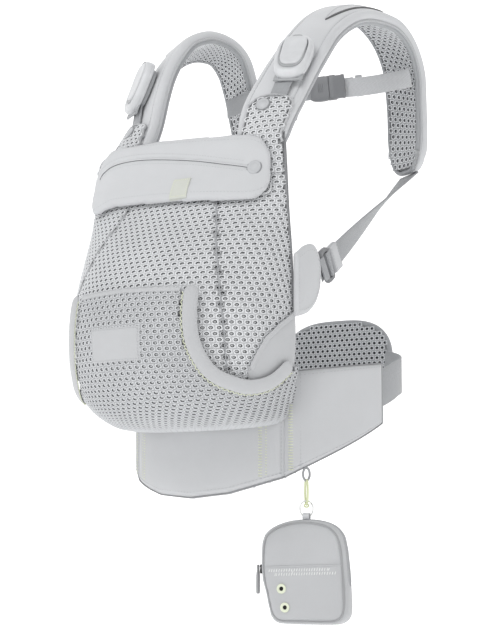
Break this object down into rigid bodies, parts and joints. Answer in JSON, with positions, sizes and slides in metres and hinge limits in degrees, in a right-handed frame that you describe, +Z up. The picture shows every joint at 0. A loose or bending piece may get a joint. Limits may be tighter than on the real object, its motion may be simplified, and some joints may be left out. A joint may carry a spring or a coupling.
{
  "type": "soft baby carrier",
  "caption": "Soft baby carrier with a padded waist belt, mesh body with a folding head collar, padded shoulder straps, a cross strap and a clip-on pouch.",
  "frame": {"origin": "Centre of the belly pad's flat inner face, which rests on the wearer's belly.", "axes": "+Z up as worn; +Y out of the belly pad's face, towards the wearer's back; +X the wearer's left."},
  "size_m": [0.3041, 0.4299, 0.6787],
  "materials": {
    "smooth_fabric": "matte woven",
    "spacer_mesh": "open knitted mesh",
    "lining_mesh": "open knitted mesh",
    "foam_core": "foam",
    "webbing": "ribbed tape",
    "buckle_plastic": "fine grain",
    "housing_plastic": "satin",
    "accent_trim": "satin",
    "black_metal": "satin"
  },
  "bodies": {
    "carrier": {"belly_pad": "lining_mesh", "belt_foam": "foam_core", "belt_front_cover": "smooth_fabric", "belt_lining": "lining_mesh", "belt_loop": "webbing", "belt_wing_left": "smooth_fabric", "belt_wing_right": "smooth_fabric", "body_panel": "spacer_mesh", "buckle_base_left": "buckle_plastic", "buckle_base_right": "buckle_plastic", "cross_buckle_socket": "buckle_plastic", "cross_webbing_left": "webbing", "cross_webbing_right": "webbing", "front_patch": "smooth_fabric", "ladder_lock_left": "buckle_plastic", "ladder_lock_right": "buckle_plastic", "leg_binding_left": "smooth_fabric", "leg_binding_right": "smooth_fabric", "leg_gusset_left": "smooth_fabric", "leg_gusset_right": "smooth_fabric", "lumbar_cover": "smooth_fabric", "lumbar_pad": "lining_mesh", "seat_panel": "spacer_mesh", "side_panel_left": "spacer_mesh", "side_panel_right": "spacer_mesh", "side_wing_left": "smooth_fabric", "side_wing_right": "smooth_fabric", "strap_lining_left": "lining_mesh", "strap_lining_right": "lining_mesh", "strap_shell_left": "smooth_fabric", "strap_shell_right": "smooth_fabric", "strap_tongue_left": "lining_mesh", "strap_tongue_right": "lining_mesh", "strap_webbing_left": "webbing", "strap_webbing_right": "webbing", "tongue_snap_left": "buckle_plastic", "tongue_snap_right": "buckle_plastic", "tongue_webbing_left": "webbing", "tongue_webbing_right": "webbing", "waist_buckle_socket": "buckle_plastic", "waist_webbing_left": "webbing", "waist_webbing_right": "webbing"},
    "collar": {"head_collar": "smooth_fabric", "collar_tag": "accent_trim", "collar_snap": "housing_plastic"},
    "release_left": {"buckle_housing_left": "housing_plastic"},
    "button_left": {"buckle_button_left": "housing_plastic"},
    "release_right": {"buckle_housing_right": "housing_plastic"},
    "button_right": {"buckle_button_right": "housing_plastic"},
    "cross_plug": {"cross_buckle_plug": "buckle_plastic"},
    "waist_plug": {"waist_buckle_plug": "buckle_plastic"},
    "hook": {"snap_hook": "accent_trim"},
    "gate": {"hook_gate": "accent_trim"},
    "pouch": {"pouch_ring": "accent_trim", "pouch_tab": "webbing", "pouch_body": "smooth_fabric"},
    "zip_slider": {"zipper_slider": "black_metal"},
    "zip_puller": {"zipper_puller": "black_metal"}
  },
  "joints": [
    {"name": "collar_fold", "type": "hinge", "parent": "carrier", "child": "collar", "pos_m": [0, -0.046, 0.308], "axis": [-1, 0, 0], "range_deg": [0, 95]},
    {"name": "buckle_release_left", "type": "slide", "parent": "carrier", "child": "release_left", "axis": [0.1548, -0.5796, -0.8], "range_m": [0, 0.009]},
    {"name": "button_press_left", "type": "slide", "parent": "release_left", "child": "button_left", "axis": [-0.2711, 0.7538, -0.5986], "range_m": [0, 0.002], "stiffness_N_per_m": 900},
    {"name": "buckle_release_right", "type": "slide", "parent": "carrier", "child": "release_right", "axis": [-0.1699, -0.3156, -0.9336], "range_m": [0, 0.009]},
    {"name": "button_press_right", "type": "slide", "parent": "release_right", "child": "button_right", "axis": [0.4901, 0.7948, -0.3578], "range_m": [0, 0.002], "stiffness_N_per_m": 900},
    {"name": "cross_plug_pull", "type": "slide", "parent": "carrier", "child": "cross_plug", "axis": [0.9339, 0.3482, 0.081], "range_m": [0, 0.022]},
    {"name": "waist_plug_pull", "type": "slide", "parent": "carrier", "child": "waist_plug", "axis": [0.4654, 0.8519, 0.2402], "range_m": [0, 0.03]},
    {"name": "hook_swing", "type": "hinge", "parent": "carrier", "child": "hook", "pos_m": [0.10981, 0.01654, -0.0405], "axis": [0.6561, 0.7547, 0], "range_deg": [-40, 80]},
    {"name": "gate_open", "type": "hinge", "parent": "hook", "child": "gate", "pos_m": [0.11301, 0.01376, -0.05826], "axis": [-0.6561, -0.7547, 0], "range_deg": [0, 25], "stiffness_Nm_per_rad": 0.02},
    {"name": "pouch_swing", "type": "hinge", "parent": "hook", "child": "pouch", "pos_m": [0.10981, 0.01654, -0.0647], "axis": [0.7547, -0.6561, 0], "range_deg": [-25, 25]},
    {"name": "zip_travel", "type": "slide", "parent": "pouch", "child": "zip_slider", "axis": [0, 0, 1], "range_m": [-0.028, 0.024]},
    {"name": "puller_lift", "type": "hinge", "parent": "zip_slider", "child": "zip_puller", "pos_m": [0.05693, 0.00336, -0.1258], "axis": [-0.2419, 0.9703, 0], "range_deg": [0, 110]}
  ]
}
